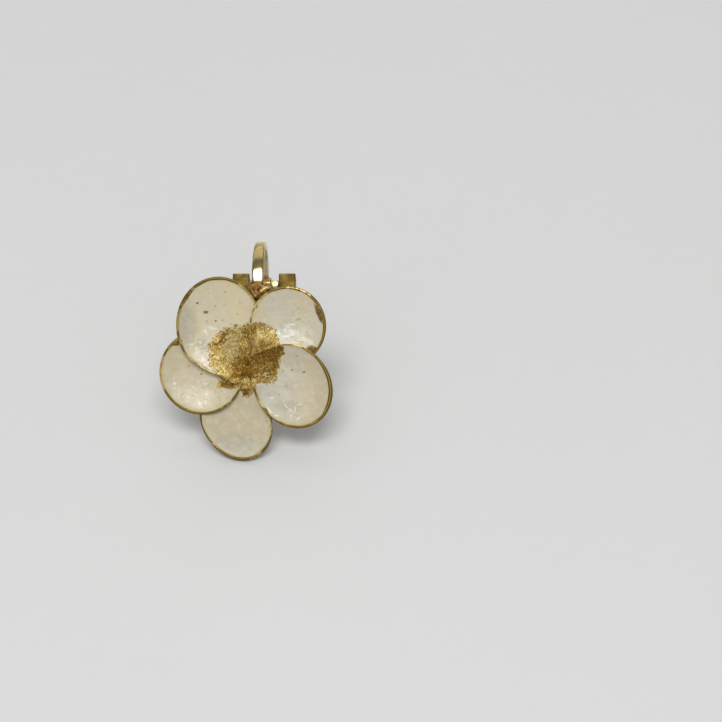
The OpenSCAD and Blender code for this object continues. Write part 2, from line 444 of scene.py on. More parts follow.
# %% Enamel fills
ENAMEL_TUCKED = 0.06
enamels = []
for i, p in enumerate(PETALS):
    fill = wrap(p, ENAMEL_ROWS, enamel_point(p))
    cut(fill, "DIFFERENCE", *[petal_column(q, -ENAMEL_TUCKED) for q in PETALS[i + 1:]])
    smooth(fill, 50)
    enamels.append(fill)
print("enamel", [len(e.data.polygons) for e in enamels], "faces")

# %% [markdown]
# ## The clip
# The arm is a band with a softly rounded section, extruded up behind the notch of the two upper petals and
# spun over in a half circle to the boss that holds the pin. It narrows a little on its way back.

# %% The arm
ARM_W, ARM_T, ARM_DEPTH, BEND_R = 1.4, 0.9, 1.6, 4.8
LEG_FOOT = -0.6
BEND_MIDDLE = -ARM_DEPTH - BEND_R
# The power that makes a circle nearly square, how much thinner the band is at its sides, and how much
# narrower it ends
SQUARISH = 2 / 6
SIDE_THINNING = 0.05
NARROWING = 0.30
arm = start(bpy.ops.mesh.primitive_circle_add, vertices=48, radius=1, fill_type="NOTHING")
for v in arm.data.vertices:
    c, s = v.co.x, v.co.y
    across = math.copysign(abs(c) ** SQUARISH, c)
    outward = math.copysign(abs(s) ** SQUARISH, s)
    thick = ARM_T - SIDE_THINNING * across ** 2
    forward = (thick - HAIR) * (outward + 1) / 2
    v.co = (HINGE.x + across * ARM_W / 2, LEG_FOOT, -ARM_DEPTH - ARM_T + forward)
pick(arm)
bpy.ops.object.mode_set(mode="EDIT")
bpy.ops.mesh.select_all(action="SELECT")
bpy.ops.mesh.extrude_region_move(TRANSFORM_OT_translate={"value": (0, HINGE.y - LEG_FOOT, 0)})
bpy.ops.mesh.spin(steps=56, angle=math.pi, center=(HINGE.x, HINGE.y, BEND_MIDDLE), axis=(1, 0, 0))
bpy.ops.mesh.select_all(action="SELECT")
bpy.ops.mesh.remove_doubles(threshold=0.001)
bpy.ops.mesh.fill_holes(sides=60)
bpy.ops.mesh.normals_make_consistent(inside=False)
bpy.ops.object.mode_set(mode="OBJECT")
for v in arm.data.vertices:
    if v.co.y > HINGE.y:
        round_the_bend = math.atan2(v.co.y - HINGE.y, v.co.z - BEND_MIDDLE) / math.pi
        v.co.x = HINGE.x + (v.co.x - HINGE.x) * (1 - NARROWING * round_the_bend)

# %% [markdown]
# The boss is a round bar along the hinge line. The knuckles and the pin come from the same small function.

# %% Boss
def bar(diameter, length, x=0.0, bevel=0.1):
    """A round bar along the hinge line, x millimetres from the middle of the hinge."""
    b = start(bpy.ops.mesh.primitive_cylinder_add, vertices=64, radius=diameter / 2, depth=length,
              location=HINGE + Vector((x, 0, 0)), rotation=(0, math.pi / 2, 0))
    freeze(b)
    return soften_edges(b, bevel) if bevel else b

BOSS_D, BOSS_W = 1.5, 1.6
arm = join(arm, bar(BOSS_D, BOSS_W, bevel=0.14))
smooth(arm, 45)
print("arm and boss", len(arm.data.polygons), "faces")

# %% [markdown]
# The paddle is a plate with rounded corners and a notch at its upper end, which leaves two square ears.

# %% Outline of the paddle
PADDLE_W, NOTCH_W, EAR_TOP, NOTCH_BOTTOM, PADDLE_END = 7.4, 3.5, 11.0, 8.85, -1.7
END_CORNER, NOTCH_CORNER, EAR_CORNER = 1.3, 0.8, 0.12
CORNERS = (
    # x, y, radius
    (-PADDLE_W / 2, PADDLE_END, END_CORNER), (PADDLE_W / 2, PADDLE_END, END_CORNER),
    (PADDLE_W / 2, EAR_TOP, EAR_CORNER), (NOTCH_W / 2, EAR_TOP, EAR_CORNER),
    (NOTCH_W / 2, NOTCH_BOTTOM, NOTCH_CORNER), (-NOTCH_W / 2, NOTCH_BOTTOM, NOTCH_CORNER),
    (-NOTCH_W / 2, EAR_TOP, EAR_CORNER), (-PADDLE_W / 2, EAR_TOP, EAR_CORNER),
)

def rounded(corners, steps=8):
    """The outline through the corners, each rounded by its radius."""
    points = []
    for i, (x, y, r) in enumerate(corners):
        corner = Vector((x, y))
        before = (Vector(corners[i - 1][:2]) - corner).normalized() * r
        after = (Vector(corners[(i + 1) % len(corners)][:2]) - corner).normalized() * r
        centre = corner + before + after
        for k in range(steps + 1):
            t = math.pi / 2 * k / steps
            points.append(centre - after * math.cos(t) - before * math.sin(t))
    return points

outline = rounded(CORNERS)
print("paddle outline", len(outline), "points")

# %% [markdown]
# The outline becomes a plate with softly rounded edges, and a bored knuckle is set behind each ear.

# %% Plate and knuckles
PADDLE_T, KNUCKLE_D, PIN_D, PIN_GAP = 0.7, 1.6, 0.8, 0.03
EDGE = 0.1
curve = bpy.data.curves.new("plate", "CURVE")
curve.dimensions = "2D"
curve.fill_mode = "BOTH"
curve.extrude = PADDLE_T / 2 - EDGE
curve.bevel_depth = EDGE
curve.bevel_resolution = 3
curve.offset = -EDGE
spline = curve.splines.new("POLY")
spline.points.add(len(outline) - 1)
spline.use_cyclic_u = True
for point, place in zip(spline.points, outline):
    point.co = (place.x, place.y, 0, 1)
plate = bpy.data.objects.new("plate", curve)
bpy.context.collection.objects.link(plate)
plate.location = (HINGE.x, 0, HINGE.z + KNUCKLE_D / 2 - PADDLE_T / 2)
pick(plate)
bpy.ops.object.convert(target="MESH")
plate = freeze(bpy.context.object)
EAR_W = (PADDLE_W - NOTCH_W) / 2
knuckles = []
for ear_x in (-(PADDLE_W - EAR_W) / 2, (PADDLE_W - EAR_W) / 2):
    knuckle = bar(KNUCKLE_D, EAR_W, ear_x, bevel=0)
    cut(knuckle, "DIFFERENCE", bar(PIN_D + 2 * PIN_GAP, EAR_W + 1, ear_x, bevel=0))
    knuckles.append(soften_edges(knuckle, 0.07))
paddle = join(plate, *knuckles)
smooth(paddle, 35)
print("paddle", len(paddle.data.polygons), "faces")

# %% [markdown]
# The pin runs through both knuckles and the boss, and a bright bead of solder sits on it beside the arm.

# %% Pin and bead
PIN_PROUD = 0.04
BEAD_TILT = math.radians(-13)
bead = start(bpy.ops.mesh.primitive_cylinder_add, vertices=48, radius=0.46, depth=0.36,
             location=HINGE + Vector((1.275, -0.02, 0.40)), rotation=(BEAD_TILT, 0, 0))
soften_edges(freeze(bead), 0.15, steps=5)
pin = join(bar(PIN_D, PADDLE_W + 2 * PIN_PROUD, bevel=0.12), bead)
smooth(pin, 35)
print("pin and bead", len(pin.data.polygons), "faces")

# %% [markdown]
# ## Finishes
# Every finish is painted in the flower's own millimetres, so a spot stays where the photograph has it. A
# small class keeps the shader trees short.

# %% A short way to write a shader
class Shader:
    def __init__(self, name):
        self.material = bpy.data.materials.new(name)
        self.material.use_nodes = True
        self.tree = self.material.node_tree
        self.surface = self.tree.nodes["Principled BSDF"]

    def put(self, socket, value):
        if isinstance(value, bpy.types.NodeSocket):
            self.tree.links.new(value, socket)
        else:
            socket.default_value = value

    def add(self, kind, inputs, **settings):
        node = self.tree.nodes.new("ShaderNode" + kind)
        for key, value in settings.items():
            setattr(node, key, value)
        for key, value in inputs.items():
            self.put(node.inputs[key], value)
        return node

    def place_in(self, at, middle, size, turn=(0, 0, 0)):
        """The same place, seen from a box with this middle, size and turn."""
        return self.add("Mapping", {"Vector": at, "Location": middle, "Scale": size, "Rotation": turn},
                        vector_type="TEXTURE").outputs[0]

    def length(self, place):
        return self.add("VectorMath", {0: place}, operation="LENGTH").outputs["Value"]

    def flower_mm(self):
        place = self.add("TexCoord", {}).outputs["Object"]
        return self.place_in(place, flower_middle, (MM, MM, MM), (math.pi / 2 - lean, 0, 0))

    def noise(self, at, scale, detail=2.0, rough=0.5, distort=0.0):
        return self.add("TexNoise", {"Vector": at, "Scale": scale, "Detail": detail, "Roughness": rough,
                        "Distortion": distort}).outputs["Fac"]

    def wander(self, at, scale, by):
        """The same place, moved about by up to half of by millimetres."""
        stray = self.add("TexNoise", {"Vector": at, "Scale": scale, "Detail": 3.0}).outputs["Color"]
        middle = self.add("VectorMath", {0: stray, 1: (0.5, 0.5, 0.5)}, operation="SUBTRACT").outputs[0]
        amount = self.add("VectorMath", {0: middle, "Scale": by}, operation="SCALE").outputs[0]
        return self.add("VectorMath", {0: at, 1: amount}, operation="ADD").outputs[0]

    def between(self, value, low, high, to_low=0.0, to_high=1.0):
        return self.add("MapRange", {0: value, 1: low, 2: high, 3: to_low, 4: to_high},
                        interpolation_type="SMOOTHSTEP").outputs[0]

    def calc(self, operation, a, b):
        return self.add("Math", {0: a, 1: b}, operation=operation).outputs[0]

    def part(self, value, share):
        return self.calc("MULTIPLY", value, share)

    def mix(self, share, a, b):
        return self.add("Mix", {0: share, 6: a, 7: b}, data_type="RGBA").outputs[2]

    def oval(self, at, x, y, rx, ry, turn=0.0):
        """0 at the middle of an oval in the plane of the flower, and 1 on its edge."""
        return self.length(self.place_in(at, (x, y, 0), (rx, ry, 1000), (0, 0, math.radians(turn))))

    def spots(self, at, rows, soft=0.25):
        """1 inside any oval of the table and 0 outside all of them."""
        total = None
        for row in rows:
            inside = self.between(self.oval(at, *row), 1 - soft, 1 + soft, 1.0, 0.0)
            total = self.calc("MAXIMUM", total, inside) if total else inside
        return total or 0.0

    def bump(self, height, depth_mm, below=None):
        inputs = {"Height": height, "Distance": depth_mm * MM, "Strength": 1.0}
        if below:
            inputs["Normal"] = below
        return self.add("Bump", inputs).outputs[0]

    def finish(self, colour, metal, rough, normal=None):
        self.put(self.surface.inputs["Base Color"], colour)
        self.put(self.surface.inputs["Metallic"], metal)
        self.put(self.surface.inputs["Roughness"], rough)
        if normal:
            self.put(self.surface.inputs["Normal"], normal)
        return self.material

# %% [markdown]
# ## The gold powder
# The powder is fired into the middle as a ragged patch: gold with a painted highlight at the left and upper
# right, brown under the topmost petal's rim, partly brown powder and partly painted shade, and thin enough in
# places to let the enamel through. Each row is an oval: x, y, two radii and a turn.

# %% Powder tables
POWDER = (
    (-0.35, 1.55, 3.95, 3.15, 0), (2.36, 1.60, 1.52, 2.95, 0), (1.20, 3.90, 1.45, 1.20, 0),
    (0.05, -1.95, 1.05, 1.25, 0), (-1.85, -1.82, 1.30, 0.80, 0), (-2.90, -2.10, 0.55, 0.26, 0),
    (2.36, -0.82, 1.02, 0.93, 0), (1.15, -1.35, 0.55, 0.60, 0), (3.88, 1.80, 0.42, 0.55, 0),
)
# Painted highlights on the powder, where it catches the light
POWDER_HIGHLIGHTS = (
    (-3.60, 0.55, 0.35, 0.70, 0), (-2.60, -0.42, 1.05, 0.70, -20), (2.35, 3.90, 1.30, 0.95, 20),
    (0.02, -1.40, 0.90, 0.30, 0), (-2.38, 2.54, 0.28, 0.22, 0),
)
# Brown powder, and painted shade under the topmost petal's rim and in the hollow of the middle
BROWN_AND_SHADE = (
    (2.25, 1.32, 1.50, 1.08, 18), (-0.10, -0.02, 1.85, 1.12, 5), (3.30, 0.20, 0.45, 0.60, 0),
    (3.80, 1.70, 0.60, 0.70, 0), (-1.15, -0.90, 0.70, 0.45, 25),
    (-2.35, -2.05, 0.80, 0.35, 0), (-0.30, -2.85, 0.80, 0.40, 0), (-2.63, 3.43, 0.40, 1.00, -25),
    (1.85, -1.65, 0.32, 0.20, 0), (2.60, -1.74, 0.22, 0.13, 0),
    (2.60, -0.60, 1.00, 0.70, 0),
)
THIN_POWDER = (
    (-1.88, 2.29, 1.20, 1.80, 0), (-1.25, 4.10, 0.85, 0.75, 0), (2.05, -0.80, 0.75, 0.55, 0),
)
# Painted shade on the powder in the sunk middle of the flower
POWDER_SHADE = (
    (-0.30, 1.55, 1.15, 1.10, 0), (1.55, 2.75, 1.40, 0.50, 12), (0.20, 3.80, 0.90, 0.80, 0),
    (1.80, 4.70, 0.60, 0.50, 0), (-3.75, 2.60, 0.40, 0.35, 0), (1.00, -1.10, 0.90, 0.80, 0),
)
RIDGE = ((1.95, 1.95, 1.45, 0.10, 22),)
print(len(POWDER), "ovals of powder")

# %% [markdown]
# The edge of the patch is made ragged, fine noise breaks it into grains, and the tables add painted
# highlight, brown and painted shade, and thin it. A narrow lighter line follows the rim of the topmost petal
# through the powder.

# %% Powder shader
DARK_GOLD, DULL_GOLD, BRIGHT_GOLD = (0.180, 0.092, 0.008, 1), (0.42, 0.285, 0.078, 1), (0.69, 0.565, 0.25, 1)

def reaching(p, rows):
    """The ovals of a table that reach petal p, or all of them."""
    if p is None:
        return rows
    far = max(p["long"], p["reach"])
    return [row for row in rows if math.hypot(row[0] - p["x"], row[1] - p["y"]) < far + max(row[2:4])]

def powder(s, at, p=None):
    """Where the powder lies, its colour, and the height of its grains."""
    ragged = s.wander(s.wander(at, 0.9, 0.9), 3.2, 0.8)
    grain = s.noise(at, 3.7, 2.5, 0.6, 0.3)
    patch = s.noise(at, 1.4, 2.0)
    thin = s.spots(s.wander(at, 1.2, 1.0), reaching(p, THIN_POWDER), 0.5)
    dust = s.spots(ragged, reaching(p, POWDER), 0.15)
    sparse = s.calc("ADD", s.part(thin, 0.22), s.between(dust, 0.0, 1.0, 0.30, 0.0))
    cover = s.between(s.calc("SUBTRACT", s.noise(at, 3.0, 2.5), sparse), 0.24, 0.34)
    where = s.part(s.between(dust, 0.0, 0.3), cover)
    # Painted highlight: the powder is lightened where it catches the light
    bright = s.spots(s.wander(at, 1.1, 1.2), reaching(p, POWDER_HIGHLIGHTS), 0.4)
    ridge = s.spots(at, reaching(p, RIDGE), 0.5)
    # Brown powder and painted shade darken these places
    brown_and_shade = s.spots(s.wander(at, 1.3, 0.8), reaching(p, BROWN_AND_SHADE), 0.4)
    brown_and_shade = s.calc("SUBTRACT", brown_and_shade, s.part(ridge, 0.5))
    tone = s.calc("ADD", s.between(grain, 0.25, 0.75, 0.15, 0.85), s.between(patch, 0.3, 0.7, -0.25, 0.20))
    tone = s.calc("ADD", tone, s.part(bright, 0.28))
    tone = s.calc("ADD", tone, s.part(ridge, 0.12))
    # Painted shade: the powder is darkened in these places
    powder_shade = s.spots(s.wander(at, 1.7, 0.9), reaching(p, POWDER_SHADE), 0.5)
    tone = s.calc("SUBTRACT", tone, s.part(powder_shade, 0.30))
    tone = s.calc("SUBTRACT", tone, s.part(s.calc("MAXIMUM", brown_and_shade, 0.0), 0.60))
    dull = s.mix(s.between(tone, -0.2, 0.45), DARK_GOLD, DULL_GOLD)
    colour = s.mix(s.between(tone, 0.35, 1.1), dull, BRIGHT_GOLD)
    return where, colour, grain, brown_and_shade, dust

# %% [markdown]
# ## The cream of the enamel
# Each petal has two creams, lighter on the upper petals than on the lower. Over them come painted grey shade
# and sheen, painted highlights, brown stains and small dark specks, in tables like those of the powder.

# %% Marks in the enamel
SPECKS = (
    (-4.71, 6.25, 0.28, 0.17, 10), (-5.62, 7.27, 0.15, 0.12, 0), (-1.33, 4.68, 0.23, 0.20, 30),
    (6.53, -0.57, 0.14, 0.12, 0), (5.17, -0.34, 0.13, 0.10, 0), (-6.65, 0.11, 0.11, 0.10, 0),
    (-5.28, -0.80, 0.13, 0.09, 0), (-3.58, 5.23, 0.12, 0.09, 0),
)
FAINT_SPECKS = (
    (-2.44, 8.52, 0.14, 0.11, 0), (-3.58, 6.93, 0.11, 0.13, 0), (-2.78, 5.34, 0.15, 0.11, 40),
    (-1.08, 6.02, 0.11, 0.11, 0), (-4.49, -2.04, 0.12, 0.11, 0), (-5.37, -1.72, 0.10, 0.13, 0),
    (5.74, 1.25, 0.14, 0.11, 0), (4.49, -2.16, 0.15, 0.15, 0), (3.69, -3.18, 0.11, 0.11, 0),
    (4.15, -0.45, 0.11, 0.11, 0), (-0.74, 7.27, 0.10, 0.10, 0), (5.85, 6.59, 0.12, 0.10, 0),
    (5.80, 5.40, 0.30, 0.16, 20), (-2.90, -2.73, 0.12, 0.11, 0), (-3.20, -2.40, 0.10, 0.10, 0),
    (-4.60, 5.20, 0.10, 0.12, 0), (0.30, -8.30, 0.12, 0.10, 0), (2.30, -6.20, 0.10, 0.10, 0),
)
STAINS = (
    (8.24, 6.00, 0.24, 1.15, 22), (7.50, 1.93, 0.78, 0.44, -15), (-7.90, 2.73, 0.57, 0.25, 25),
    (-7.02, 7.48, 1.60, 0.15, 52), (2.33, -5.11, 0.18, 0.57, 20), (-4.94, -8.29, 0.18, 0.68, 25),
)
# White streaks and patches painted on the glass: painted highlights where light glints on it
PAINTED_HIGHLIGHTS = (
    (-4.09, 4.45, 0.62, 0.13, -14), (-4.72, 3.95, 0.12, 0.42, 22), (-6.36, 2.57, 0.28, 0.12, 0),
    (-5.74, 1.65, 0.32, 0.12, 20), (-5.17, 1.82, 0.22, 0.09, 0), (-5.06, 0.80, 0.40, 0.20, -30),
    (-4.80, 0.25, 0.12, 0.16, 0), (-4.10, -0.22, 0.30, 0.13, -20), (-5.40, 2.84, 0.30, 0.10, 0),
    (4.37, 4.15, 0.16, 0.14, 0), (3.64, 3.90, 0.12, 0.42, 0), (4.49, 4.71, 0.35, 0.10, -20),
    (5.11, 4.83, 0.42, 0.12, 10), (4.60, 3.55, 0.55, 0.12, 8), (5.20, 4.00, 0.28, 0.22, 0),
    (6.60, 3.08, 0.42, 0.24, -28), (7.05, 2.85, 0.55, 0.32, -38),
    (2.87, -3.50, 0.24, 0.10, 0), (2.61, -4.88, 0.11, 0.40, 30), (3.46, -5.51, 0.22, 0.08, 0),
    (4.54, -4.49, 0.28, 0.07, -45), (5.00, -4.88, 0.26, 0.07, -40), (5.57, -4.75, 0.07, 0.36, -12),
    (6.10, -4.23, 0.24, 0.09, 0), (5.11, -5.51, 0.10, 0.20, -20), (5.90, -5.85, 0.16, 0.14, 0),
    (-8.24, -1.85, 0.20, 0.09, 0), (-6.76, -3.41, 0.20, 0.12, 0), (-4.66, -3.11, 0.18, 0.11, 20),
    (-3.39, -3.20, 0.09, 0.09, 0), (-5.40, -4.15, 0.16, 0.34, 30), (-4.70, -4.05, 0.11, 0.28, 20),
)
TONES = (
    # The two tones that cloud each petal, lighter on the upper petals than on the lower
    ((0.528, 0.452, 0.300, 1), (0.508, 0.452, 0.308, 1)),
    ((0.570, 0.510, 0.325, 1), (0.570, 0.495, 0.345, 1)),
    ((0.680, 0.590, 0.390, 1), (0.640, 0.580, 0.415, 1)),
    ((0.610, 0.525, 0.350, 1), (0.572, 0.533, 0.415, 1)),
    ((0.540, 0.460, 0.305, 1), (0.497, 0.468, 0.370, 1)),
)
# Grey patches painted on the glass: painted shade that dims its brightest places, and a painted grey sheen on
# the upper left petal
PAINTED_SHADE_AND_SHEEN = (
    (-7.10, 4.60, 1.30, 2.60, 0), (-4.94, 2.50, 1.00, 0.70, -20), (4.60, -4.88, 1.70, 1.00, 0),
    (-1.20, -9.20, 3.00, 1.50, 0), (4.80, 4.20, 1.00, 1.00, 0), (2.20, -2.50, 1.50, 0.60, -10),
)
# A mound or a dent in the glass of four petals: x, y, two radii and height
SWELLS = {
    0: (-1.3, -6.6, 3.4, 3.2, 0.22), 1: (-5.1, -1.6, 3.9, 3.6, 0.06),
    3: (6.0, 5.0, 4.2, 2.8, -0.12), 4: (4.9, -2.9, 3.9, 3.4, 0.30),
}
# Some petals came out of the kiln glossier than others, in the order of the petal table
DULLNESS = (0.38, 0.26, 0.20, 0.20, 0.38)
print(len(SPECKS) + len(FAINT_SPECKS), "specks,", len(STAINS), "stains and", len(PAINTED_HIGHLIGHTS), "painted highlights")

# %% [markdown]
# The colours are laid over one another in order: clouds, painted grey shade and mottling first, then the warm
# edge and its grime, the painted highlights, the stains and specks, and the powder over all of them.

# %% Enamel material
SHADE_AND_SHEEN_GREY, CREAM_MOTTLE, OLIVE_FLECK = (0.45, 0.42, 0.32, 1), (0.74, 0.67, 0.50, 1), (0.36, 0.30, 0.15, 1)
WARM_EDGE, EDGE_GRIME, HIGHLIGHT_WHITE = (0.56, 0.43, 0.22, 1), (0.30, 0.19, 0.07, 1), (0.86, 0.84, 0.74, 1)
DARK_STAIN, LIGHT_STAIN = (0.15, 0.070, 0.006, 1), (0.32, 0.18, 0.030, 1)
FAINT_SPECK, DARK_SPECK, GOLD_DUST = (0.26, 0.18, 0.05, 1), (0.155, 0.085, 0.010, 1), (0.44, 0.32, 0.10, 1)
# Depth of the bump that the grains of powder give
GRAIN_DEPTH = 0.13

def enamel_colour(s, at, i, p, mottle, stain):
    """The enamel of petal i without its powder."""
    own_place = s.add("VectorMath", {0: at, 1: (i * 7.0, 0, 0)}).outputs[0]
    cloud = s.between(s.noise(own_place, 0.22, 2.0), 0.38, 0.62)
    colour = s.mix(cloud, *TONES[i])
    # Painted shade and sheen: the glass is greyed in patches
    colour = s.mix(s.part(s.spots(at, reaching(p, PAINTED_SHADE_AND_SHEEN), 0.5), 0.85), colour, SHADE_AND_SHEEN_GREY)
    colour = s.mix(s.between(mottle, 0.45, 0.75, 0.0, 0.35), colour, CREAM_MOTTLE)
    colour = s.mix(s.between(s.noise(at, 3.3, 2.0), 0.64, 0.74, 0.0, 0.35), colour, OLIVE_FLECK)
    edge = s.oval(s.wander(at, 1.6, 0.35), p["x"], p["y"], p["long"], p["short"], p["turn"])
    colour = s.mix(s.between(edge, 0.86, 0.98, 0.0, 0.45), colour, WARM_EDGE)
    grime = s.part(s.between(edge, 0.90, 0.99), s.between(s.noise(at, 0.8, 3.0), 0.50, 0.62))
    colour = s.mix(s.part(grime, 0.75), colour, EDGE_GRIME)
    # Painted highlights: the glass is whitened in streaks and patches where light glints on it
    pale = s.spots(s.wander(s.wander(at, 1.8, 0.35), 4.5, 0.25), reaching(p, PAINTED_HIGHLIGHTS), 0.7)
    colour = s.mix(s.part(pale, 0.62), colour, HIGHLIGHT_WHITE)
    stain_colour = s.mix(s.between(s.noise(at, 4.0, 2.0), 0.4, 0.6), DARK_STAIN, LIGHT_STAIN)
    colour = s.mix(s.part(stain, 0.95), colour, stain_colour)
    stray = s.wander(at, 4.0, 0.22)
    colour = s.mix(s.part(s.spots(stray, reaching(p, FAINT_SPECKS), 0.5), 0.45), colour, FAINT_SPECK)
    return s.mix(s.part(s.spots(stray, reaching(p, SPECKS), 0.4), 0.85), colour, DARK_SPECK)

def enamel_material(i, p):
    s = Shader("cream_enamel_%d" % (i + 1))
    at = s.flower_mm()
    where, gold, grain, _, dust = powder(s, at, p)
    mottle = s.noise(at, 1.3, 4.0, 0.6)
    stain = s.spots(s.wander(at, 2.4, 0.30), reaching(p, STAINS), 0.3)
    colour = s.mix(s.part(dust, 0.85), enamel_colour(s, at, i, p, mottle, stain), GOLD_DUST)
    colour = s.mix(where, colour, gold)
    rough = s.between(mottle, 0.35, 0.7, DULLNESS[i], DULLNESS[i] + 0.10)
    rough = s.calc("MAXIMUM", rough, s.part(dust, 0.50))
    normal = s.bump(s.noise(at, 0.9, 3.0, 0.5), 0.13)
    if i in SWELLS:
        x, y, rx, ry, swell = SWELLS[i]
        shape = s.between(s.oval(at, x, y, rx, ry), 0.15, 1.0, max(swell, 0.0), max(-swell, 0.0))
        normal = s.bump(shape, 1.0, normal)
    pits = s.between(s.noise(at, 3.6, 2.0), 0.60, 0.72, 1.0, 0.0)
    normal = s.bump(pits, 0.012, normal)
    normal = s.bump(s.part(grain, where), GRAIN_DEPTH, normal)
    metal = s.calc("MAXIMUM", s.part(where, 0.8), s.part(stain, 0.6))
    return s.finish(colour, metal, rough, normal)

# %% [markdown]
# ## The gilding
# The gilt has worn and darkened in patches. On the rims two tables make it brighter and darker in places,
# partly wear and tarnish and partly painted highlight and shade; the arm, the pad and the pin each have a few
# marks of their own.

# %% Marks on the rims
BRIGHT_RIM_AND_HIGHLIGHT = (
    # Where the rims are painted brighter, partly clean gilding and partly painted highlight: x, y, two radii,
    # turn
    (-5.20, 0.10, 2.20, 0.80, -30), (-9.70, -0.30, 0.60, 2.40, 0), (1.30, 7.20, 0.70, 2.10, -33),
    (6.10, 2.10, 1.70, 0.50, -18), (-7.90, 4.90, 0.50, 1.00, 0), (1.50, -3.90, 0.50, 0.90, 20),
    (5.30, 9.05, 0.70, 0.40, 0), (6.70, 8.50, 0.90, 0.30, -40), (-0.90, 9.50, 0.90, 0.30, -35),
    (2.75, -7.00, 0.60, 2.00, 0), (7.30, 1.62, 0.60, 0.40, -30), (-8.92, 2.14, 0.40, 0.70, -30),
    (-7.58, 2.95, 0.40, 0.60, 15), (0.72, 7.75, 0.35, 0.60, 40),
)
# Where the rims are painted darker, partly tarnish and partly painted shade
TARNISHED_AND_SHADED_RIM = (
    (9.70, -2.60, 0.70, 2.80, 0), (-2.90, 10.10, 0.90, 0.40, 0), (3.40, 8.80, 0.90, 0.50, 20),
    (-4.40, -5.20, 0.60, 0.40, 10), (3.40, -6.00, 0.50, 1.10, 50), (8.75, 3.30, 0.50, 0.90, 10),
    (2.39, -8.71, 0.45, 0.80, -20), (-0.78, -10.45, 0.80, 0.40, 0), (-1.62, 9.82, 0.60, 0.40, -20),
    (-7.46, -4.62, 0.60, 0.40, -30),
)
print(len(BRIGHT_RIM_AND_HIGHLIGHT), "bright and", len(TARNISHED_AND_SHADED_RIM), "dark places on the rims")

# %% [markdown]
# One recipe serves all the gilt: two tones in patches, then the marks of the piece, some of them painted
# light and shade, then the powder where the petals have it.

# %% Gilt material
def gilt_material(name, light, dark, worn, rough, powdered=False, marks=(), metal=1.0):
    """Gilt in a light and a dark tone. It is dark and duller where the patches lie under the level worn."""
    s = Shader(name)
    at = s.flower_mm()
    patches = s.noise(at, 0.6, 3.0, 0.55, 0.4)
    fine = s.noise(at, 4.0, 3.0)
    both = s.calc("ADD", s.part(patches, 0.8), s.part(fine, 0.2))
    if powdered:
        # Painted highlight and shade on the rims, along with their wear and tarnish
        both = s.calc("ADD", both, s.part(s.spots(s.wander(at, 1.2, 0.5), BRIGHT_RIM_AND_HIGHLIGHT, 0.4), 0.14))
        both = s.calc("SUBTRACT", both, s.part(s.spots(at, TARNISHED_AND_SHADED_RIM, 0.4), 0.24))
    colour = s.mix(s.between(both, worn - 0.09, worn + 0.09), dark, light)
    for place, reach, tint, bare in marks:
        away = s.length(s.place_in(s.wander(at, 1.2, 0.3), place, reach))
        here = s.between(away, 0.75, 1.15, 1.0, 0.0)
        colour = s.mix(here, colour, tint)
        metal = s.add("Mix", {0: here, 2: metal, 3: bare}).outputs[0]
    polish = s.between(both, 0.35, 0.65, rough + 0.16, rough)
    normal = s.bump(s.noise(at, 2.2, 3.0), 0.018)
    if powdered:
        where, gold, grain, _, _ = powder(s, at)
        colour = s.mix(where, colour, gold)
        polish = s.calc("MAXIMUM", polish, s.part(where, 0.50))
        normal = s.bump(s.part(grain, where), GRAIN_DEPTH, normal)
        metal = s.between(where, 0.0, 1.0, 1.0, 0.8)
    return s.finish(colour, metal, polish, normal)

# %% [markdown]
# The arm has the best polish and the pad behind the flower the least, and the paddle is the darkest.

# %% The five gilt finishes
ARM_MARKS = (
    # Painted highlight low on the front; darker at the foot, partly tarnish and partly painted shade; painted
    # light on top and, pale and without metal shine, inside the bend; browned at the hinge: place, reach,
    # tint, and how much bare metal shows
    ((1.1, 10.60, -1.6), (0.75, 0.90, 0.34), (0.96, 0.91, 0.76, 1), 1.0),
    ((1.1, 9.30, -1.6), (0.90, 0.62, 0.50), (0.18, 0.112, 0.020, 1), 1.0),
    ((1.1, 14.40, -4.80), (1.20, 0.80, 2.20), (0.88, 0.70, 0.30, 1), 1.0),
    ((1.1, 9.80, -6.40), (3.00, 4.30, 4.30), (0.98, 0.86, 0.54, 1), 0.0),
    ((1.1, 9.80, -10.75), (1.40, 1.20, 1.20), (0.44, 0.28, 0.090, 1), 0.5),
)
# Darker just under the arm, partly dark solder and partly painted shade: place, reach, tint, and how much
# bare metal shows
PAD_MARKS = (((1.15, 8.98, -1.0), (0.62, 0.42, 0.80), (0.155, 0.084, 0.020, 1), 1.0),)
# The bead is painted pale, partly a painted highlight: place, reach, tint, and how much bare metal shows
PIN_MARKS = (((2.38, 9.80, -10.35), (0.62, 0.62, 0.42), (0.95, 0.81, 0.46, 1), 0.8),)
rim_gilt = gilt_material("rim_gilt", (0.62, 0.455, 0.150, 1), (0.19, 0.125, 0.024, 1), 0.585, 0.32,
                         powdered=True)
pad_gilt = gilt_material("pad_gilt", (0.55, 0.38, 0.145, 1), (0.24, 0.140, 0.042, 1), 0.50, 0.42,
                         marks=PAD_MARKS)
arm_gilt = gilt_material("arm_gilt", (0.37, 0.285, 0.110, 1), (0.33, 0.245, 0.085, 1), 0.40, 0.13,
                         marks=ARM_MARKS)
clip_gilt = gilt_material("clip_gilt", (0.205, 0.142, 0.038, 1), (0.112, 0.070, 0.017, 1), 0.50, 0.34)
pin_gilt = gilt_material("pin_gilt", (0.62, 0.46, 0.16, 1), (0.42, 0.29, 0.09, 1), 0.45, 0.36,
                         marks=PIN_MARKS, metal=0.8)
print("gilt:", [m.name for m in (rim_gilt, pad_gilt, arm_gilt, clip_gilt, pin_gilt)])

# %% [markdown]
# ## Loose grains
# Real grains stand up out of the powder and catch the light. Each is dropped straight down on the flower
# where the powder lies.

# %% Powder grains
def surface_under(objects):
    points, faces = [], []
    for o in objects:
        start_at = len(points)
        points += [v.co.copy() for v in o.data.vertices]
        faces += [[start_at + k for k in f.vertices] for f in o.data.polygons]
    return BVHTree.FromPolygons(points, faces)

def inside_of(rows, x, y):
    return any(oval_distance(row, x, y) < 1 for row in rows)

GRAINS = 650
